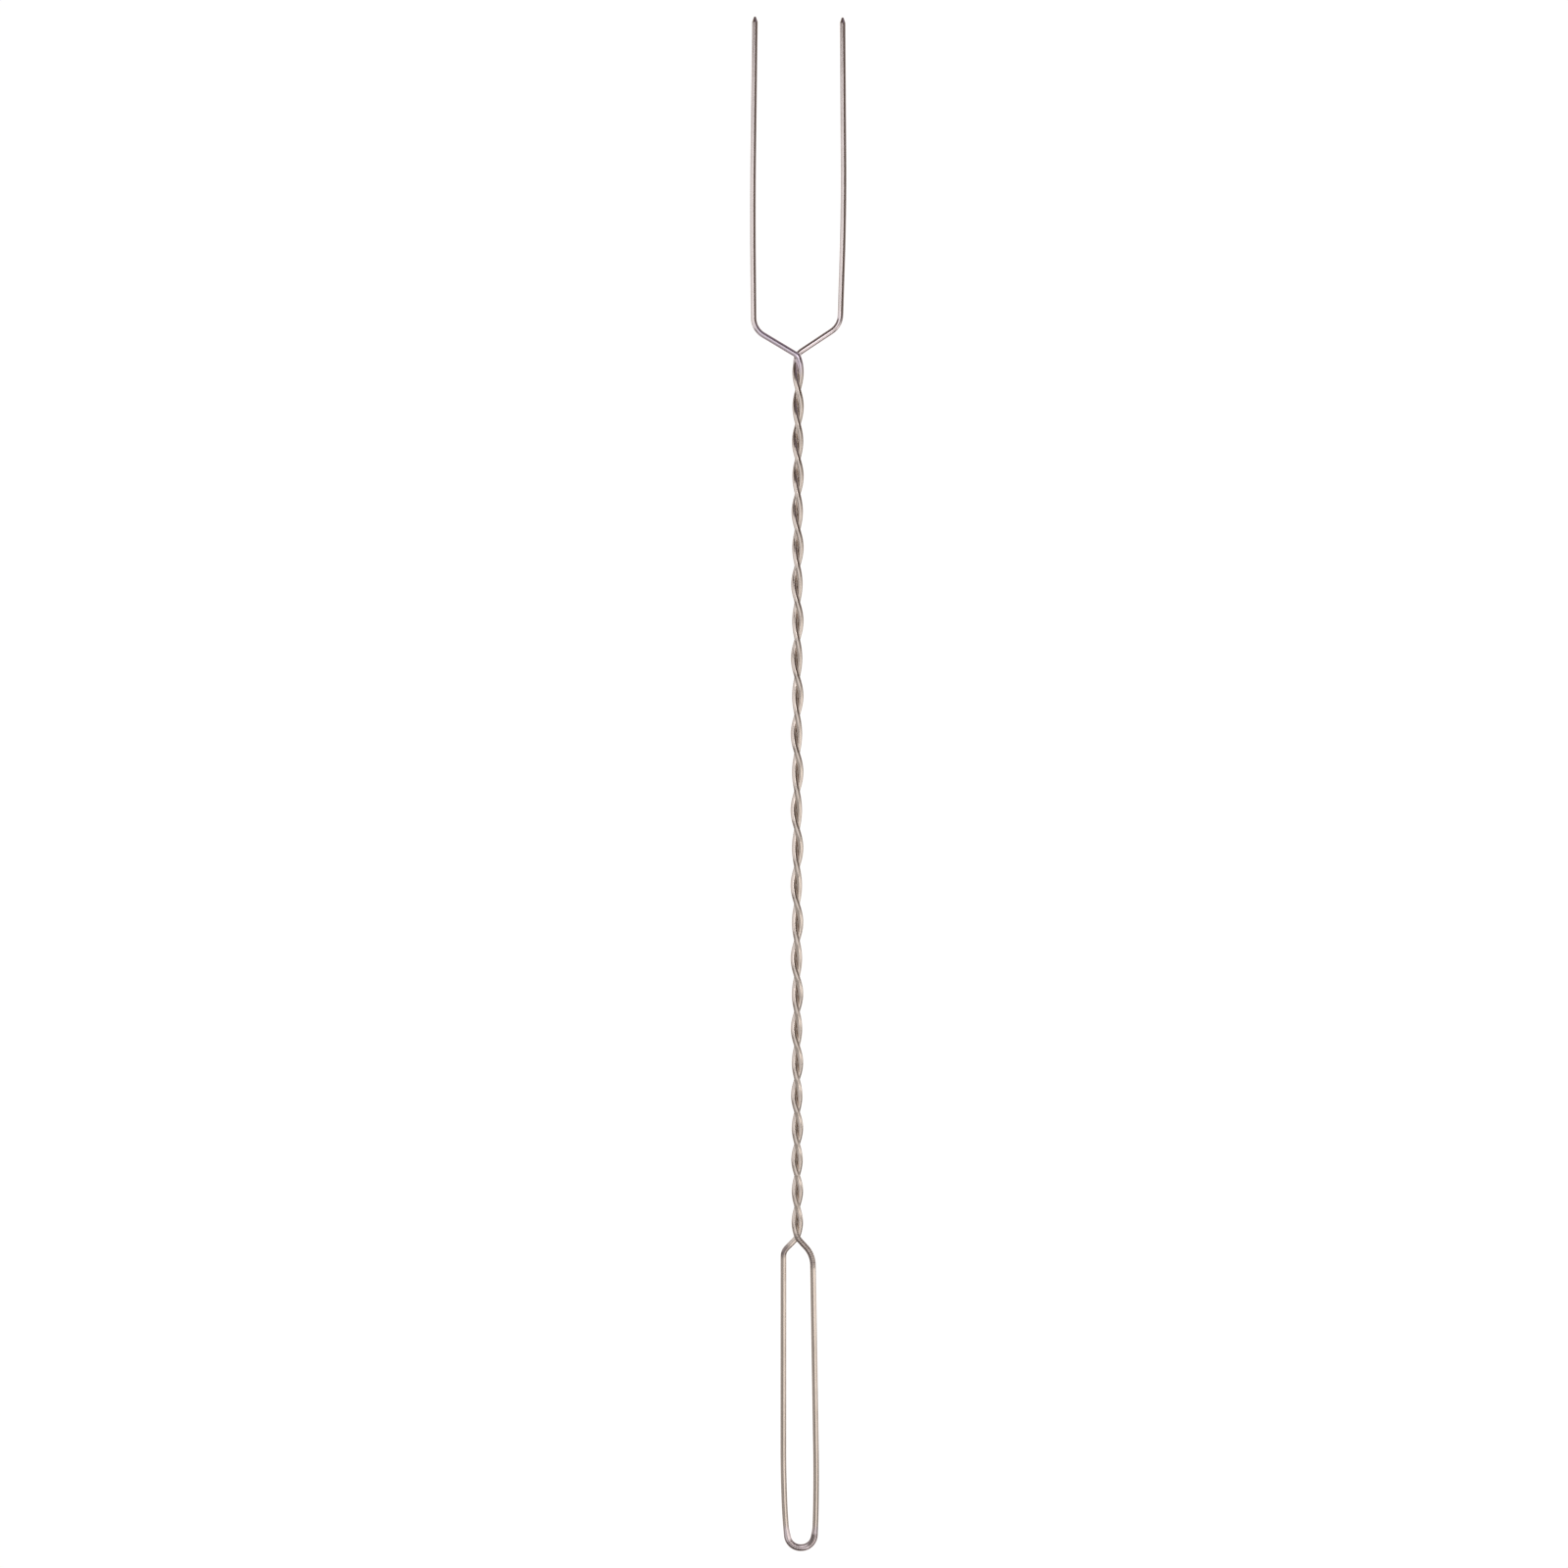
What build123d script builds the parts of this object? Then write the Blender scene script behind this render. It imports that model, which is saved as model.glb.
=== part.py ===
"""Campfire roasting fork, bent from one length of round steel wire.

The wire is doubled. Its middle is the closed end of the grip loop, its two halves
are twisted together along the shaft, and its two ends spread into parallel tines
with ground points. The fork lies flat, with +Y towards the points and +Z up. Its
origin is on the surface that it lies on, under the middle of its outline.

Each stretch of the wire is its own solid, and meets the next one face to face.
Lengths are in millimetres and angles in degrees.
"""

from build123d import *

import math
import os

# Wire
wire_diameter = 3.4
strand_clearance = 0.04

# Lengths along the fork
overall_length = 914.4
tine_length = 186.3
shoulder_depth = 15.6
grip_length = 187.0

# Tines: distance between their centre lines, and how far the pair stands off centre
tine_bend_spacing = 51.5
tine_bend_shift = -0.8
tine_belly_spacing = 54.4
tine_belly_height = 72.0
tine_point_spacing = 52.2
tine_point_shift = 0.3
tine_bend_radius = 12.0
right_bend_rise = 2.2
right_point_shortfall = 0.5

# Ground points
point_length = 3.2
point_end_diameter = 1.2

# Junction, where the tines' wires cross: the left one turns tightly over the right one,
# which turns more widely and further up. A bend takes a share of the shorter run beside it.
left_junction_share = 0.35
right_junction_share = 0.6
right_junction_shift = -0.9
right_junction_rise = 0.6
left_junction_drop = 0.6
first_step_share = 0.35
easy_share = 0.45

# Twist: an odd number of half turns brings each wire back to its own side
half_turns = 25
steps_per_half_turn = 4
lay_swell = 0.0156
lay_ripple = 0.0121
twist_top_shift = -0.1
twist_bottom_shift = -0.55
twist_bow = 0.45
twist_sway = 0.43

# Grip loop: width between the legs' centre lines, and how far the loop stands off centre
grip_neck_depth = 8.4
right_neck_drop = 2.0
grip_neck_width = 17.5
grip_neck_shift = -0.1
grip_belly_height = 48.0
grip_belly_width = 19.6
grip_belly_shift = 0.9
grip_cheek_height = 22.0
grip_cheek_width = 18.6
grip_cheek_shift = 1.2
grip_end_width = 15.9
grip_end_shift = 1.7
grip_end_flat = 0.5
left_neck_radius = 6.5
right_neck_radius = 16.0

# Distance from a bend to the seam where the next stretch begins
seam_distance = 14.0

# Heights: everything but the upper wire of each crossing lies on the surface
wire_radius = wire_diameter / 2
step_angle = 180 / steps_per_half_turn
orbit = (wire_radius + strand_clearance / 2) / math.cos(math.radians(step_angle / 2))
shaft_height = wire_radius + orbit

# Places along Y
points_y = overall_length / 2
tine_bend_y = points_y - tine_length
tine_belly_y = tine_bend_y + tine_belly_height
twist_top_y = tine_bend_y - shoulder_depth
grip_end_y = -overall_length / 2 + wire_radius
twist_bottom_y = -overall_length / 2 + grip_length
twist_length = twist_top_y - twist_bottom_y
grip_neck_y = twist_bottom_y - grip_neck_depth
grip_belly_y = grip_end_y + grip_belly_height
grip_cheek_y = grip_end_y + grip_cheek_height

# The left tine's wire starts the twist on top, the right tine's wire starts it underneath
side_sign = {"left": -1, "right": 1}
start_angle = {"left": 90, "right": -90}
bend_rise = {"left": 0.0, "right": right_bend_rise}
point_shortfall = {"left": 0.0, "right": right_point_shortfall}
neck_drop = {"left": 0.0, "right": right_neck_drop}
junction_shift = {"left": 0.0, "right": right_junction_shift}
junction_rise = {"left": -left_junction_drop, "right": right_junction_rise}
junction_share = {"left": left_junction_share, "right": right_junction_share}
neck_radius = {"left": left_neck_radius, "right": right_neck_radius}
twist_steps = half_turns * steps_per_half_turn

# Along the middle of the shaft the right tine's wire swings wider than the left one's
strand_swing = {"left": -twist_sway, "right": twist_sway}


def beside(side, spacing, shift, y):
    """Place on one wire of a pair that lies on the surface."""
    return Vector(shift + side_sign[side] * spacing / 2, y, wire_radius)


def strand_corner(side, step):
    """Corner of a strand's path round the shaft, after so many steps of the twist."""
    share = step / twist_steps
    swell = lay_swell * math.sin(math.pi * share)
    ripple = lay_ripple * math.sin(2 * math.pi * share)
    angle = math.radians(start_angle[side] - step_angle * step)
    lean = (twist_bottom_shift - twist_top_shift) * share
    axis_x = twist_top_shift + lean - twist_bow * math.sin(math.pi * share)
    reach = orbit + strand_swing[side] * math.sin(math.pi * share)
    return Vector(
        axis_x + reach * math.cos(angle),
        twist_top_y - twist_length * (share + swell - ripple),
        shaft_height + orbit * math.sin(angle),
    )


def halfway(start, end):
    """Place in the middle of a straight run."""
    return (start + end) / 2


def towards(start, end, distance):
    """Place at a distance from start on the way to end."""
    return start + (end - start).normalized() * distance


def bend_radius(before, corner, after, share=easy_share):
    """Radius of a bend whose arc takes a share of the shorter run beside its corner."""
    turn = math.radians((corner - before).get_angle(after - corner))
    run = min((corner - before).length, (after - corner).length)
    return share * run / math.tan(turn / 2)


def write_wire(label, corners, radii):
    """Stretch of round wire along straight runs and the bends between them."""
    with BuildPart() as stretch:
        with BuildLine() as route:
            FilletPolyline(*corners, radius=radii)
        with BuildSketch(route.wires()[0] ^ 0):
            Circle(wire_radius)
        sweep(path=route.wires()[0])
    stretch.part.label = label
    export_step(stretch.part, f"parts/{label}.step")


os.makedirs("parts", exist_ok=True)
grip_end = {}
grip_end_seam = {}

for side in ("left", "right"):
    tine_point = beside(
        side, tine_point_spacing, tine_point_shift, points_y - point_shortfall[side]
    )
    tine_belly = beside(side, tine_belly_spacing, 0, tine_belly_y)
    tine_bend = beside(
        side, tine_bend_spacing, tine_bend_shift, tine_bend_y + bend_rise[side]
    )
    junction = strand_corner(side, 0) + Vector(junction_shift[side], junction_rise[side])
    twist = [strand_corner(side, step) for step in range(1, twist_steps)]
    crossing = strand_corner(side, twist_steps)
    grip_neck = beside(
        side, grip_neck_width, grip_neck_shift, grip_neck_y - neck_drop[side]
    )
    grip_belly = beside(side, grip_belly_width, grip_belly_shift, grip_belly_y)
    grip_cheek = beside(side, grip_cheek_width, grip_cheek_shift, grip_cheek_y)
    grip_end[side] = beside(side, grip_end_width, grip_end_shift, grip_end_y)

    point_base = towards(tine_point, tine_belly, point_length)
    tine_seam = towards(tine_bend, tine_belly, seam_distance)
    twist_top_seam = halfway(twist[0], twist[1])
    twist_bottom_seam = halfway(twist[-1], crossing)
    neck_seam = towards(grip_neck, grip_belly, seam_distance)
    grip_end_seam[side] = towards(grip_end[side], grip_cheek, seam_distance)

    # Tine: a slightly bowed rod with a blunt ground cone at its end
    with BuildPart() as tine:
        with BuildLine() as route:
            belly_radius = bend_radius(tine_seam, tine_belly, point_base)
            FilletPolyline(tine_seam, tine_belly, point_base, radius=[belly_radius])
        with BuildSketch(route.wires()[0] ^ 0):
            Circle(wire_radius)
        sweep(path=route.wires()[0])
        base_plane = Plane(point_base, z_dir=tine_point - point_base)
        with BuildSketch(base_plane):
            Circle(wire_radius)
        with BuildSketch(base_plane.offset(point_length)):
            Circle(point_end_diameter / 2)
        loft()
    tine.part.label = f"tine_{side}"
    export_step(tine.part, f"parts/tine_{side}.step")

    # Shoulder: in from the tine to the junction, and once round the start of the twist
    write_wire(
        f"shoulder_{side}",
        [tine_seam, tine_bend, junction, twist[0], twist_top_seam],
        [
            tine_bend_radius,
            bend_radius(tine_bend, junction, twist[0], junction_share[side]),
            bend_radius(junction, twist[0], twist[1], first_step_share),
        ],
    )

    # Strand: one of the two twisted wires of the shaft
    bends = zip(twist, twist[1:], [*twist[2:], crossing])
    write_wire(
        f"strand_{side}",
        [twist_top_seam, *twist[1:], twist_bottom_seam],
        [bend_radius(*bend) for bend in bends],
    )

    # Neck: out of the last crossing into the leg of the grip loop
    write_wire(
        f"neck_{side}",
        [twist_bottom_seam, crossing, grip_neck, neck_seam],
        [bend_radius(twist[-1], crossing, grip_neck), neck_radius[side]],
    )

    # Leg of the grip loop
    write_wire(
        f"grip_leg_{side}",
        [neck_seam, grip_belly, grip_cheek, grip_end_seam[side]],
        [
            bend_radius(neck_seam, grip_belly, grip_cheek),
            bend_radius(grip_belly, grip_cheek, grip_end_seam[side]),
        ],
    )

# Closed end of the grip loop: two bends of one radius, with a short flat between them
end_corners = [grip_end_seam["left"], grip_end["left"], grip_end["right"], grip_end_seam["right"]]
end_turns = [
    (corner - before).get_angle(after - corner)
    for before, corner, after in zip(end_corners, end_corners[1:], end_corners[2:])
]
arc_reach = sum(math.tan(math.radians(turn / 2)) for turn in end_turns)
grip_end_radius = (grip_end_width - grip_end_flat) / arc_reach
write_wire("grip_end", end_corners, [grip_end_radius, grip_end_radius])
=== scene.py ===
"""Looks of the campfire roasting fork: one drawn steel wire, doubled, twisted and bent.

The wire's centre line is worked out once, from one tine's point down the shaft, round the
grip loop and back up to the other point. Each CAD node is replaced by its own stretch of
that line, swept as a smooth tube. The fork's own lengths are in millimetres, and turn into
metres when its meshes are made; the stage, lights and camera are in metres.
"""

import math

import bpy
import numpy as np
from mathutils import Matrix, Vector


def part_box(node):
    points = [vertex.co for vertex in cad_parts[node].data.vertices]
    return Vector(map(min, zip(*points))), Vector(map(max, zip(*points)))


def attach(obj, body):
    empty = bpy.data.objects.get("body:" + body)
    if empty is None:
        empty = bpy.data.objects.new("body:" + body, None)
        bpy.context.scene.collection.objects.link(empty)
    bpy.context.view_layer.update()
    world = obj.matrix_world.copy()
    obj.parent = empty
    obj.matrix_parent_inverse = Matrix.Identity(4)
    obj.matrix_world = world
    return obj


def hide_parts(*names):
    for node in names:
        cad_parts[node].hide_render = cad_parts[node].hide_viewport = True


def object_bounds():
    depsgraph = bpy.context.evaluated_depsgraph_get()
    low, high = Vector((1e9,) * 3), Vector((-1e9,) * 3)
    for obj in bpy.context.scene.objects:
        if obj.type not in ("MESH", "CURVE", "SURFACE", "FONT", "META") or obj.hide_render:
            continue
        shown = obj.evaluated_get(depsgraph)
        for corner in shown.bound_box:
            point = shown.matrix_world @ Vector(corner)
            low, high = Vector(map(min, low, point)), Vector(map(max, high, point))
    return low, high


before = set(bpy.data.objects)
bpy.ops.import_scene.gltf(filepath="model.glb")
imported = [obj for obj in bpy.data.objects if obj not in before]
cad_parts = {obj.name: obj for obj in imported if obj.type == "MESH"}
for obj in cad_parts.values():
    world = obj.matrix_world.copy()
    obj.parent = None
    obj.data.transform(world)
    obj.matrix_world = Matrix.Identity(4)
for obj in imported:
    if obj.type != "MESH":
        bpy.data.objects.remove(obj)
cad_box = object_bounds()
MM = 0.001

# ---------------------------------------------------------------- the fork's dimensions, mm

wire_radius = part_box("tine_left")[1][2] / MM / 2
overall_length = (cad_box[1][1] - cad_box[0][1]) / MM
strand_clearance = 0.04

tine_length = 186.3
shoulder_depth = 15.6
grip_length = 187.0

tine_bend_spacing = 51.5
tine_bend_shift = -0.8
tine_belly_spacing = 54.4
tine_belly_height = 72.0
tine_point_spacing = 52.2
tine_point_shift = 0.3
tine_bend_radius = 12.0
right_bend_rise = 2.2
right_point_shortfall = 0.5
point_length = 3.2
point_end_radius = 0.6

left_junction_share = 0.35
right_junction_share = 0.6
right_junction_shift = -0.9
left_junction_drop = 0.6
right_junction_rise = 0.6
first_step_share = 0.35
easy_share = 0.45

half_turns = 25
steps_per_half_turn = 4
lay_swell = 0.0156
lay_ripple = 0.0121
twist_top_shift = -0.1
twist_bottom_shift = -0.55
twist_bow = 0.45
twist_sway = 0.43

grip_neck_depth = 8.4
right_neck_drop = 2.0
grip_neck_width = 17.5
grip_neck_shift = -0.1
grip_belly_height = 48.0
grip_belly_width = 19.6
grip_belly_shift = 0.9
grip_cheek_height = 22.0
grip_cheek_width = 18.6
grip_cheek_shift = 1.2
grip_end_width = 15.9
grip_end_shift = 1.7
grip_end_flat = 0.5
left_neck_radius = 6.5
right_neck_radius = 16.0
seam_distance = 14.0

step_angle = math.pi / steps_per_half_turn
twist_steps = half_turns * steps_per_half_turn
orbit = (wire_radius + strand_clearance / 2) / math.cos(step_angle / 2)
shaft_height = wire_radius + orbit
points_y = overall_length / 2
tine_bend_y = points_y - tine_length
tine_belly_y = tine_bend_y + tine_belly_height
twist_top_y = tine_bend_y - shoulder_depth
grip_end_y = -overall_length / 2 + wire_radius
twist_bottom_y = -overall_length / 2 + grip_length
twist_length = twist_top_y - twist_bottom_y
grip_neck_y = twist_bottom_y - grip_neck_depth
grip_belly_y = grip_end_y + grip_belly_height
grip_cheek_y = grip_end_y + grip_cheek_height

# Distance between two rings of a tube, by kind of stretch, and sides of a tube
ring_spacing = {
    "tine": 1.5,
    "shoulder": 0.4,
    "strand": 0.7,
    "neck": 0.22,
    "grip_leg": 1.5,
    "grip_end": 0.22,
}
tube_sides = 48

# Rings over a ground point, by their distance from its tip, and where the even rings begin.
# The tip's edge is rounded over a short length, from a share of its thickness.
tip_rings = np.array([0, 0.06, 0.15, 0.3, 0.6, 1.0, 1.5, 2.0, 2.5, 2.9, 3.2, 3.5, 4.0])
tip_rings_reach = 4.4
tip_rounding_length = 0.3
tip_rounding_share = 0.5

# Distance between two places of the centre line, and how far its bends are eased
line_spacing = 0.2
line_softening = 0.7

# Jaw marks: one dent to the next and depth of a dent. Where the closed end was pressed, its
# wire is wider along the surface and lower across it.
mark_pitch = 1.35
mark_depth = 0.13
end_press = np.array((1.2, 1.2, 0.9))


# ---------------------------------------------------------------- the wire's centre line


def beside(side, spacing, shift, y):
    """Place on one wire of a pair that lies on the surface."""
    return Vector((shift + side * spacing / 2, y, wire_radius))


def strand_corner(side, step):
    """Corner of a strand's path round the shaft, after so many steps of the twist."""
    share = step / twist_steps
    swell = lay_swell * math.sin(math.pi * share)
    ripple = lay_ripple * math.sin(2 * math.pi * share)
    angle = -side * math.pi / 2 - step_angle * step
    lean = (twist_bottom_shift - twist_top_shift) * share
    axis_x = twist_top_shift + lean - twist_bow * math.sin(math.pi * share)
    # The right wire swings wider sideways than the left one, most of all in mid shaft
    reach = orbit + side * twist_sway * math.sin(math.pi * share)
    return Vector(
        (
            axis_x + reach * math.cos(angle),
            twist_top_y - twist_length * (share + swell - ripple),
            shaft_height + orbit * math.sin(angle),
        )
    )


def bend_radius(before, corner, after, share=easy_share):
    """Radius of a bend whose arc takes a share of the shorter run beside its corner."""
    turn = (corner - before).angle(after - corner)
    run = min((corner - before).length, (after - corner).length)
    return share * run / math.tan(turn / 2)


def side_route(side):
    """Corners and bend radii down one side, and its seams, from the point to the loop's end."""
    on_right = side > 0
    point = beside(
        side,
        tine_point_spacing,
        tine_point_shift,
        points_y - (right_point_shortfall if on_right else 0),
    )
    belly = beside(side, tine_belly_spacing, 0, tine_belly_y)
    bend = beside(
        side,
        tine_bend_spacing,
        tine_bend_shift,
        tine_bend_y + (right_bend_rise if on_right else 0),
    )
    junction = strand_corner(side, 0)
    if on_right:
        junction += Vector((right_junction_shift, right_junction_rise, 0))
    else:
        junction += Vector((0, -left_junction_drop, 0))
    twist = [strand_corner(side, step) for step in range(1, twist_steps)]
    crossing = strand_corner(side, twist_steps)
    neck = beside(
        side,
        grip_neck_width,
        grip_neck_shift,
        grip_neck_y - (right_neck_drop if on_right else 0),
    )
    grip_belly = beside(side, grip_belly_width, grip_belly_shift, grip_belly_y)
    grip_cheek = beside(side, grip_cheek_width, grip_cheek_shift, grip_cheek_y)
    grip_end = beside(side, grip_end_width, grip_end_shift, grip_end_y)

    corners = [point, belly, bend, junction, *twist, crossing, neck]
    corners += [grip_belly, grip_cheek, grip_end]
    radii = [
        bend_radius(*corners[at - 1 : at + 2]) for at in range(1, len(corners) - 1)
    ]
    # The tine's bend, the junction, the first step of the twist and the neck have their own
    radii[1] = tine_bend_radius
    radii[2] = bend_radius(
        bend, junction, twist[0], right_junction_share if on_right else left_junction_share
    )
    radii[3] = bend_radius(junction, twist[0], twist[1], first_step_share)
    radii[-3] = right_neck_radius if on_right else left_neck_radius
    seams = [
        bend + (belly - bend).normalized() * seam_distance,
        (twist[0] + twist[1]) / 2,
        (twist[-1] + crossing) / 2,
        neck + (grip_belly - neck).normalized() * seam_distance,
        grip_end + (grip_cheek - grip_end).normalized() * seam_distance,
    ]
    return corners, radii, seams


def rounded(corners, radii):
    """Points along a run of corners, each rounded to its radius."""
    points = [corners[0]]
    for before, corner, after, radius in zip(corners, corners[1:], corners[2:], radii):
        heading = (corner - before).normalized()
        turn = heading.angle(after - corner)
        start = corner - heading * radius * math.tan(turn / 2)
        inward = ((after - corner).normalized() - heading * math.cos(turn)).normalized()
        pieces = max(2, math.ceil(radius * turn / line_spacing))
        for piece in range(pieces + 1):
            swept = turn * piece / pieces
            sideways = inward * (1 - math.cos(swept))
            points.append(start + (heading * math.sin(swept) + sideways) * radius)
    points.append(corners[-1])
    return points


def softened(line, reach):
    """Line with its changes of curvature eased, its two ends kept straight and in place."""
    half = math.ceil(3 * reach / line_spacing)
    weights = np.exp(-0.5 * (np.arange(-half, half + 1) * line_spacing / reach) ** 2)
    weights /= weights.sum()
    steps = np.arange(half, 0, -1)[:, None]
    lead = line[0] - steps * (line[1] - line[0])
    trail = line[-1] + steps[::-1] * (line[-1] - line[-2])
    padded = np.vstack([lead, line, trail])
    return np.stack([np.convolve(padded[:, k], weights, "valid") for k in range(3)], 1)


left_corners, left_radii, left_seams = side_route(-1)
right_corners, right_radii, right_seams = side_route(1)
end_corners = [left_corners[-2], left_corners[-1], right_corners[-1], right_corners[-2]]
end_turns = [
    (corner - before).angle(after - corner)
    for before, corner, after in zip(end_corners, end_corners[1:], end_corners[2:])
]
arc_reach = sum(math.tan(turn / 2) for turn in end_turns)
end_radius = (grip_end_width - grip_end_flat) / arc_reach

rough_line = np.array(
    rounded(
        left_corners + right_corners[::-1],
        left_radii + [end_radius, end_radius] + right_radii[::-1],
    )
)
rough_at = np.concatenate(
    [[0], np.cumsum(np.linalg.norm(np.diff(rough_line, axis=0), axis=1))]
)
stations = np.arange(0, rough_at[-1], line_spacing)
even_line = np.stack([np.interp(stations, rough_at, rough_line[:, k]) for k in range(3)], 1)
line = softened(even_line, line_softening)
line_at = np.concatenate([[0], np.cumsum(np.linalg.norm(np.diff(line, axis=0), axis=1))])
wire_length = line_at[-1]

# Directions along the wire, and across it without any twist of their own
ahead = np.gradient(line, axis=0)
ahead /= np.linalg.norm(ahead, axis=1)[:, None]
across = np.zeros_like(line)
across[0] = (0, 0, 1)
for at in range(1, len(line)):
    carried = across[at - 1] - ahead[at] * (across[at - 1] @ ahead[at])
    across[at] = carried / np.linalg.norm(carried)
beyond = np.cross(ahead, across)


def along(values, distance):
    """A value that is kept for each place of the line, at some distances along the wire."""
    return np.stack([np.interp(distance, line_at, values[:, k]) for k in range(3)], 1)


def seam_at(seam):
    """Distance along the wire of a seam."""
    return line_at[np.argmin(np.linalg.norm(line - np.array(seam), axis=1))]


# ---------------------------------------------------------------- the wire's material


pale_steel = (0.71, 0.64, 0.625)
pale_patch = (0.64, 0.58, 0.57)
warm_steel = (0.665, 0.588, 0.533)
warm_patch = (0.595, 0.523, 0.47)
# Painted violet reflection tint, laid on the shoulders and the grip's end
violet_reflection_tint = (0.71, 0.625, 0.73)
stain_colour = (0.44, 0.36, 0.30)
draw_line_colour = (0.53, 0.475, 0.44)
# Jaw marks and scuffs, and painted shade at the left neck's kink
mark_and_shade_colour = (0.25, 0.21, 0.205)


def steel_material(name):
    """Drawn steel wire: draw lines, patches and stains, its own warm tone, jaw dents and
    scuffs, a painted violet reflection tint, and painted shade at the left neck's kink.
    """
    material = bpy.data.materials.new(name)
    material.use_nodes = True
    nodes, links = material.node_tree.nodes, material.node_tree.links
    shader = nodes["Principled BSDF"]
    shader.inputs["Metallic"].default_value = 1.0
    place = nodes.new("ShaderNodeAttribute")
    place.attribute_name = "wire_place"

    def noise(scale, detail=3.0, stretch=1.0):
        mapping = nodes.new("ShaderNodeMapping")
        mapping.inputs["Scale"].default_value = (1, 1, stretch)
        links.new(place.outputs["Vector"], mapping.inputs["Vector"])
        made = nodes.new("ShaderNodeTexNoise")
        made.inputs["Scale"].default_value = scale
        made.inputs["Detail"].default_value = detail
        links.new(mapping.outputs["Vector"], made.inputs["Vector"])
        return made.outputs["Fac"]

    def mapped(value, low, high, out_low, out_high):
        made = nodes.new("ShaderNodeMapRange")
        for socket, number in zip(made.inputs[1:5], (low, high, out_low, out_high)):
            socket.default_value = number
        links.new(value, made.inputs["Value"])
        return made.outputs["Result"]

    def mixed(amount, low, high):
        made = nodes.new("ShaderNodeMix")
        made.data_type = "RGBA"
        for socket, colour in ((made.inputs["A"], low), (made.inputs["B"], high)):
            if isinstance(colour, tuple):
                socket.default_value = (*colour, 1)
            else:
                links.new(colour, socket)
        links.new(amount, made.inputs["Factor"])
        return made.outputs["Result"]

    def maths(operation, first, second):
        made = nodes.new("ShaderNodeMath")
        made.operation = operation
        for socket, value in zip(made.inputs, (first, second)):
            if isinstance(value, (int, float)):
                socket.default_value = value
            else:
                links.new(value, socket)
        return made.outputs["Value"]

    # Warmth, the painted violet reflection tint, and jaw marks with painted shade at the left
    # kink, kept on each point
    finish_and_painted_light = nodes.new("ShaderNodeAttribute")
    finish_and_painted_light.attribute_name = "wire_finish_and_painted_light"
    kept = nodes.new("ShaderNodeSeparateXYZ")
    links.new(finish_and_painted_light.outputs["Vector"], kept.inputs["Vector"])
    warmth, violet, marks_and_shade = kept.outputs

    draw_lines = noise(4.5, 2.0, 0.03)
    patches = noise(0.35, 4.0, 0.12)
    stains = noise(0.5, 4.0, 0.15)

    # Each layer's colour covers what is under it by its own amount
    pale = mixed(mapped(patches, 0.35, 0.65, 0, 1), pale_steel, pale_patch)
    warm = mixed(mapped(patches, 0.35, 0.65, 0, 1), warm_steel, warm_patch)
    base = mixed(warmth, pale, warm)
    # Painted violet reflection tint
    base = mixed(violet, base, violet_reflection_tint)
    base = mixed(mapped(stains, 0.58, 0.78, 0, 0.5), base, stain_colour)
    base = mixed(mapped(draw_lines, 0.35, 0.75, 0, 0.3), base, draw_line_colour)
    # Jaw marks, scuffs, and painted shade on the outer side of the left neck's kink darken the
    # colour
    base = mixed(marks_and_shade, base, mark_and_shade_colour)
    links.new(base, shader.inputs["Base Color"])

    # Draw lines, stains, jaw marks and the painted shade at the left kink are duller than the
    # bright steel between them
    line_rough = mapped(draw_lines, 0.3, 0.7, 0.14, 0.20)
    stain_rough = mapped(stains, 0.5, 0.8, 0, 0.08)
    rough = maths("ADD", line_rough, stain_rough)
    rough = maths("ADD", rough, maths("MULTIPLY", marks_and_shade, 0.06))
    links.new(rough, shader.inputs["Roughness"])

    bump = nodes.new("ShaderNodeBump")
    bump.inputs["Strength"].default_value = 0.12
    bump.inputs["Distance"].default_value = 0.00006
    links.new(maths("ADD", draw_lines, maths("MULTIPLY", stains, 0.6)), bump.inputs["Height"])
    links.new(bump.outputs["Normal"], shader.inputs["Normal"])
    return material


# ---------------------------------------------------------------- the wire's stretches

# Distances along the wire of each side's point and of the ends of its stretches. They grow
# down the left side, from zero, and shrink down the right side, from the wire's length.
side_kinds = ("tine", "shoulder", "strand", "neck", "grip_leg")
left_at = dict(zip(("point", *side_kinds), (0.0, *map(seam_at, left_seams))))
right_at = dict(zip(("point", *side_kinds), (wire_length, *map(seam_at, right_seams))))


def swell(at, start, end, ease):
    """One between two distances along the wire, and zero a little way outside them."""
    low, high = min(start, end), max(start, end)
    rise = np.clip((at - low) / ease + 1, 0, 1)
    fall = np.clip((high - at) / ease + 1, 0, 1)
    both = np.minimum(rise, fall)
    return both * both * (3 - 2 * both)


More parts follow.
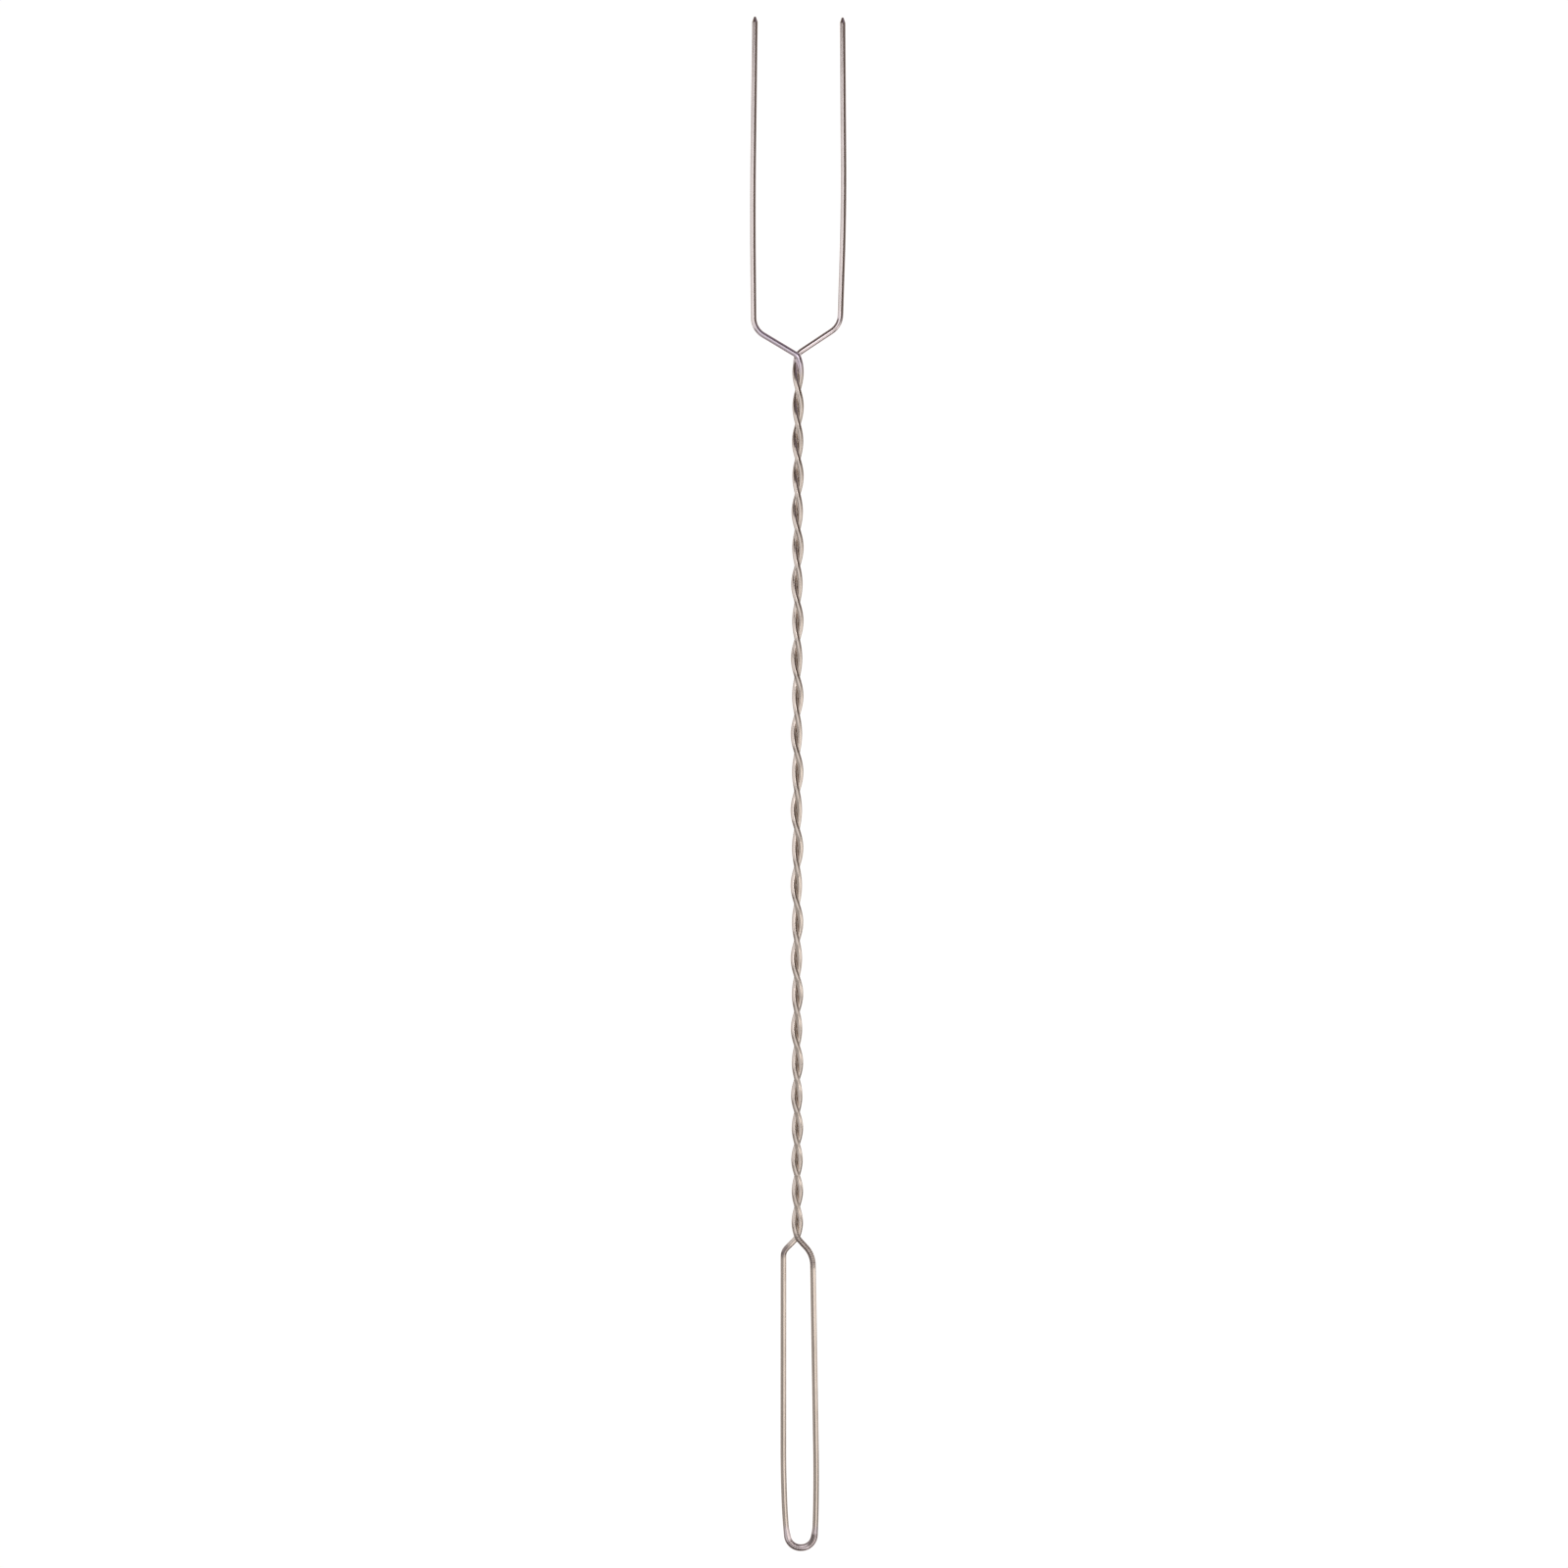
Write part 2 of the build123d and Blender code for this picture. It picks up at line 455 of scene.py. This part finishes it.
def jaw_marks_and_kink_shade(at):
    """Dents that the bending tool's jaws left, how darkened the wire is by scuffs and by
    painted shade at the left neck's kink, and on which side.
    """
    # Zones between two distances along the wire, each with the width of its soft borders
    right_neck = swell(at, right_at["strand"] - 3, right_at["neck"] + 9, 5)
    # Painted shade on the outer side of the left neck's kink
    left_kink_shade = swell(at, left_at["neck"] - 16, left_at["neck"] - 13.5, 5)
    left_corner = swell(at, left_at["grip_leg"] + 11, left_at["grip_leg"] + 17.5, 3)
    right_corner = swell(at, right_at["grip_leg"] - 6.5, right_at["grip_leg"] - 13, 2)
    left_shoulder = swell(at, left_at["shoulder"] - 24, left_at["shoulder"] - 9, 3)
    row = 0.5 + 0.5 * np.cos(2 * math.pi * at / mark_pitch)
    uneven = 0.75 + 0.25 * np.sin(at * 1.9 + 2 * np.sin(at * 0.7))
    bitten = right_neck + left_corner + 0.5 * right_corner + 0.3 * left_shoulder
    # Scuffs at the right neck and the grip's corners, and painted shade at the left kink
    scuffs_and_shade = 0.75 * right_neck + 1.3 * left_kink_shade + 0.6 * left_corner + 1.2 * right_corner
    inner_side = right_corner - 0.7 * left_corner - 0.6 * left_kink_shade
    return bitten * row**2 * uneven, scuffs_and_shade, inner_side


def tones(at):
    """How warm the steel is, and how strong the painted violet reflection tint is, at distances
    along the wire.
    """
    warmth = swell(at, left_at["shoulder"] + 20, right_at["shoulder"] - 20, 50)
    # Painted violet reflection tint: strong on the left shoulder, weaker on the right one and
    # on the grip's end
    violet = 0.95 * swell(at, left_at["tine"] + 20, left_at["shoulder"] - 5, 12)
    violet = violet + 0.35 * swell(at, right_at["tine"] - 12, right_at["shoulder"] + 5, 10)
    violet = violet + 0.5 * swell(at, left_at["grip_leg"] + 4, right_at["grip_leg"] - 4, 6)
    return warmth, violet


def ring_places(kind, start, end):
    """Distances along the wire of a tube's rings, which stand close together over a point."""
    spans = max(8, math.ceil((end - start) / ring_spacing[kind]))
    at = np.linspace(start, end, spans + 1)
    if kind != "tine":
        return at
    tip, away = (start, 1) if start == 0 else (end, -1)
    at = at[np.abs(at - tip) > tip_rings_reach]
    return np.unique(np.concatenate([tip + away * tip_rings, at]))


def radius_at(at):
    """Radius of the wire, which narrows to a blunt cone with a rounded edge at its points."""
    from_tip = np.minimum(at, wire_length - at)
    cone = point_end_radius + (wire_radius - point_end_radius) * from_tip / point_length
    still_round = np.clip(1 - from_tip / tip_rounding_length, 0, 1)
    rounding = tip_rounding_share + (1 - tip_rounding_share) * np.sqrt(1 - still_round**2)
    return np.minimum(cone, wire_radius) * rounding


def wire_surface(at):
    """Points of a tube ring by ring, then its two ends, with the place of each, its tone, its
    jaw dents and scuffs, and the painted light on it.
    """
    turn = np.arange(tube_sides) * 2 * math.pi / tube_sides
    cosine, sine = np.cos(turn), np.sin(turn)
    rim = along(across, at)[:, None] * cosine[None, :, None]
    rim += along(beyond, at)[:, None] * sine[None, :, None]
    radius = radius_at(at)[:, None]

    # Inward is level and towards the inside of the grip loop. The jaws bit the upper side,
    # down to a little below the wire's middle.
    heading = along(ahead, at)
    inward = np.stack([-heading[:, 1], heading[:, 0], 0 * at], 1)
    facing = (rim * inward[:, None]).sum(2)
    upper = np.clip(rim[:, :, 2] + 0.3, 0, 1)
    teeth, scuffs_and_shade, inner_side = [values[:, None] for values in jaw_marks_and_kink_shade(at)]
    scuffs_and_shade = scuffs_and_shade * np.clip(1 + inner_side * facing, 0, 1)
    sunk = mark_depth * teeth * upper

    pressed = swell(at, left_at["grip_leg"] + 8, right_at["grip_leg"] - 8, 7)[:, None]
    shape = 1 + pressed[:, None] * (end_press - 1)
    centre = along(line, at) + inward * pressed * (end_press[0] - 1) * wire_radius
    rings = centre[:, None] + shape * rim * (radius - sunk)[:, :, None]
    vertices = np.vstack([rings.reshape(-1, 3), centre[0], centre[-1]]) * MM

    places = np.stack(np.broadcast_arrays(radius * cosine, radius * sine, at[:, None]), 2)
    places = np.vstack([places.reshape(-1, 3), (0, 0, at[0]), (0, 0, at[-1])])
    warmth, violet = [values[:, None] for values in tones(at)]
    # Jaw marks and scuffs, with the painted kink shade, on the upper side only
    marked_and_shaded = np.clip(0.75 * scuffs_and_shade + 0.5 * teeth, 0, 1) * upper
    finish_and_painted_light = np.stack(np.broadcast_arrays(warmth, violet, marked_and_shaded), 2).reshape(-1, 3)
    finish_and_painted_light = np.vstack([finish_and_painted_light, finish_and_painted_light[0], finish_and_painted_light[-1]])
    return vertices, places, finish_and_painted_light


def tube_faces(ring_count):
    """Faces of a tube with closed ends, and the edges round those ends."""
    spokes = [(spoke, (spoke + 1) % tube_sides) for spoke in range(tube_sides)]
    last_ring = (ring_count - 1) * tube_sides
    faces = []
    for near in range(0, last_ring, tube_sides):
        far = near + tube_sides
        for spoke, after in spokes:
            faces.append((near + spoke, near + after, far + after, far + spoke))
    first_end = last_ring + tube_sides
    last_end = first_end + 1
    for spoke, after in spokes:
        faces.append((first_end, after, spoke))
        faces.append((last_end, last_ring + spoke, last_ring + after))
    end_edges = {
        frozenset((ring + spoke, ring + after))
        for ring in (0, last_ring)
        for spoke, after in spokes
    }
    return faces, end_edges


def wire_stretch(node, kind, start, end, material):
    """Smooth tube along the wire between two distances, which replaces one CAD node."""
    at = ring_places(kind, start, end)
    vertices, places, finish_and_painted_light = wire_surface(at)
    faces, end_edges = tube_faces(len(at))
    mesh = bpy.data.meshes.new(node + "_wire")
    mesh.from_pydata(vertices.tolist(), [], faces)
    mesh.update()
    mesh.polygons.foreach_set("use_smooth", [True] * len(mesh.polygons))
    sharp = mesh.attributes.new("sharp_edge", "BOOLEAN", "EDGE")
    sharp.data.foreach_set(
        "value", [frozenset(edge.vertices) in end_edges for edge in mesh.edges]
    )
    for name, values in (("wire_place", places), ("wire_finish_and_painted_light", finish_and_painted_light)):
        held = mesh.attributes.new(name, "FLOAT_VECTOR", "POINT")
        held.data.foreach_set("vector", values.ravel())
    mesh.materials.append(material)
    piece = bpy.data.objects.new(node + "_wire", mesh)
    bpy.context.collection.objects.link(piece)
    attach(piece, "root")
    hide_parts(node)


steel = steel_material("drawn_steel")
for side, side_at in (("left", left_at), ("right", right_at)):
    ends = list(side_at.values())
    for kind, start, end in zip(side_kinds, ends, ends[1:]):
        wire_stretch(f"{kind}_{side}", kind, min(start, end), max(start, end), steel)
wire_stretch("grip_end", "grip_end", left_at["grip_leg"], right_at["grip_leg"], steel)


# ---------------------------------------------------------------- stage, lights and camera


def stage_mesh(name, corners, material):
    """A flat stage piece, such as the floor or a card beside the fork."""
    mesh = bpy.data.meshes.new(name)
    mesh.from_pydata(corners, [], [tuple(range(len(corners)))])
    mesh.materials.append(material)
    made = bpy.data.objects.new(name, mesh)
    bpy.context.collection.objects.link(made)
    return made


def glow_material(name, colour, glow, albedo=0.0):
    """Plain matt material that also gives off light."""
    material = bpy.data.materials.new(name)
    material.use_nodes = True
    shader = material.node_tree.nodes["Principled BSDF"]
    shader.inputs["Base Color"].default_value = (albedo, albedo, albedo, 1)
    shader.inputs["Roughness"].default_value = 1.0
    shader.inputs["Specular IOR Level"].default_value = 0.0
    shader.inputs["Emission Color"].default_value = (*colour, 1)
    shader.inputs["Emission Strength"].default_value = glow
    return material


floor_size = 30.0
floor = stage_mesh(
    "floor",
    [
        (-floor_size, -floor_size, 0),
        (floor_size, -floor_size, 0),
        (floor_size, floor_size, 0),
        (-floor_size, floor_size, 0),
    ],
    glow_material("floor_white", (1, 1, 1), 0.95, 0.8),
)
floor.visible_glossy = False


def card(name, low, high, colour, glow):
    """Upright or level card between two corners, seen only in the metal's reflections."""
    flat = min(range(3), key=lambda k: high[k] - low[k])
    first, second = [k for k in range(3) if k != flat]
    corners = []
    for first_end, second_end in ((low, low), (high, low), (high, high), (low, high)):
        place = list(low)
        place[first] = first_end[first]
        place[second] = second_end[second]
        corners.append(tuple(place))
    made = stage_mesh(name, corners, glow_material(name, colour, glow))
    made.visible_camera = False
    made.visible_diffuse = False
    made.visible_shadow = False
    return made


# Cards over the fork and beside it, and how brightly each one glows. Far is towards the
# points, near and end are towards the grip, and a lower card covers what is above it.
cool_light = (1.0, 0.985, 0.99)
warm_light = (1.0, 0.955, 0.91)
violet_light = (0.85, 0.72, 1.0)
card("ceiling_far_left", (-1.6, 0.26, 0.80), (0.10, 0.60, 0.80), cool_light, 1.12)
card("ceiling_gap_left", (-1.6, 0.12, 0.80), (0.14, 0.26, 0.80), cool_light, 0.75)
card("wall_far_left", (-1.0, -0.08, -0.6), (-1.0, 0.65, 0.8), cool_light, 1.05)
card("ceiling_far_right", (0.40, 0.10, 0.80), (1.6, 0.26, 0.80), warm_light, 0.5)
card("ceiling_middle", (-0.12, -0.26, 0.79), (0.16, 0.16, 0.79), cool_light, 1.25)
card("ceiling_middle_left", (-0.9, -0.36, 0.80), (-0.12, 0.12, 0.80), cool_light, 0.80)
card("ceiling_shoulders", (-0.12, 0.18, 0.78), (0.16, 0.35, 0.78), cool_light, 2.8)
card("ceiling_shoulder_line", (0.07, 0.38, 0.78), (0.19, 0.58, 0.78), cool_light, 1.7)
card("ceiling_beyond", (0.10, 0.78, 0.80), (1.6, 2.2, 0.80), violet_light, 0.26)
card("ceiling_near_right", (0.03, -0.65, 0.81), (1.6, -0.34, 0.81), warm_light, 1.42)
card("ceiling_gap_right", (0.34, -0.34, 0.81), (1.6, 0.10, 0.81), warm_light, 0.75)
card("ceiling_inner_right", (0.16, -0.34, 0.81), (0.34, 0.12, 0.81), warm_light, 1.1)
card("ceiling_end_right", (0.25, -1.7, 0.80), (1.6, -0.85, 0.80), warm_light, 1.5)
card("wall_near_right", (1.0, -0.42, -0.6), (1.0, -0.20, 0.8), warm_light, 1.3)
card("wall_gap_right", (1.0, -0.20, -0.6), (1.0, 0.02, 0.8), warm_light, 0.75)
card("wall_end_right", (1.0, -0.55, -0.6), (1.0, -0.42, 0.8), warm_light, 0.95)
card("wall_last_right", (1.0, -0.85, -0.6), (1.0, -0.55, 0.8), warm_light, 0.35)
card("ceiling_near_left", (-1.6, -0.65, 0.81), (0.03, -0.36, 0.81), warm_light, 0.40)
card("ceiling_near_end", (-1.6, -1.3, 0.81), (1.6, -0.65, 0.81), cool_light, 0.82)
card("wall_near_left", (-0.9, -0.75, -0.6), (-0.9, -0.2, 0.8), warm_light, 0.5)

# What the metal reflects where no card is: dark overhead, and paler at the horizon
world = bpy.data.worlds.new("studio")
bpy.context.scene.world = world
world.use_nodes = True
world_nodes, world_links = world.node_tree.nodes, world.node_tree.links
background = world_nodes["Background"]
sky_place = world_nodes.new("ShaderNodeTexCoord")
sky_split = world_nodes.new("ShaderNodeSeparateXYZ")
world_links.new(sky_place.outputs["Generated"], sky_split.inputs["Vector"])
sky_ramp = world_nodes.new("ShaderNodeValToRGB")
sky_ramp.color_ramp.interpolation = "EASE"
sky_ramp.color_ramp.elements[0].position = 0.0
sky_ramp.color_ramp.elements[0].color = (0.46, 0.42, 0.40, 1)
sky_ramp.color_ramp.elements[1].position = 0.12
sky_ramp.color_ramp.elements[1].color = (0.120, 0.088, 0.072, 1)
world_links.new(sky_split.outputs["Z"], sky_ramp.inputs["Fac"])
world_links.new(sky_ramp.outputs["Color"], background.inputs["Color"])
background.inputs["Strength"].default_value = 1.0

# The white behind everything, which only the camera sees
dome_radius = 28.0
bpy.ops.mesh.primitive_uv_sphere_add(segments=48, ring_count=24, radius=dome_radius)
dome = bpy.context.object
dome.name = "backdrop"
dome.data.materials.append(glow_material("backdrop_white", (1, 1, 1), 1.3))
dome.visible_glossy = False
dome.visible_diffuse = False
dome.visible_shadow = False

frame_width = 0.9338
camera_centre = (-0.00852, -0.00008)
camera_data = bpy.data.cameras.new("camera")
camera_data.lens = 100
camera_data.sensor_width = 36
camera = bpy.data.objects.new("camera", camera_data)
distance = frame_width * camera_data.lens / camera_data.sensor_width
camera.location = (*camera_centre, distance + 2 * wire_radius * MM)
bpy.context.collection.objects.link(camera)
bpy.context.scene.camera = camera
bpy.context.scene.view_settings.view_transform = "Standard"
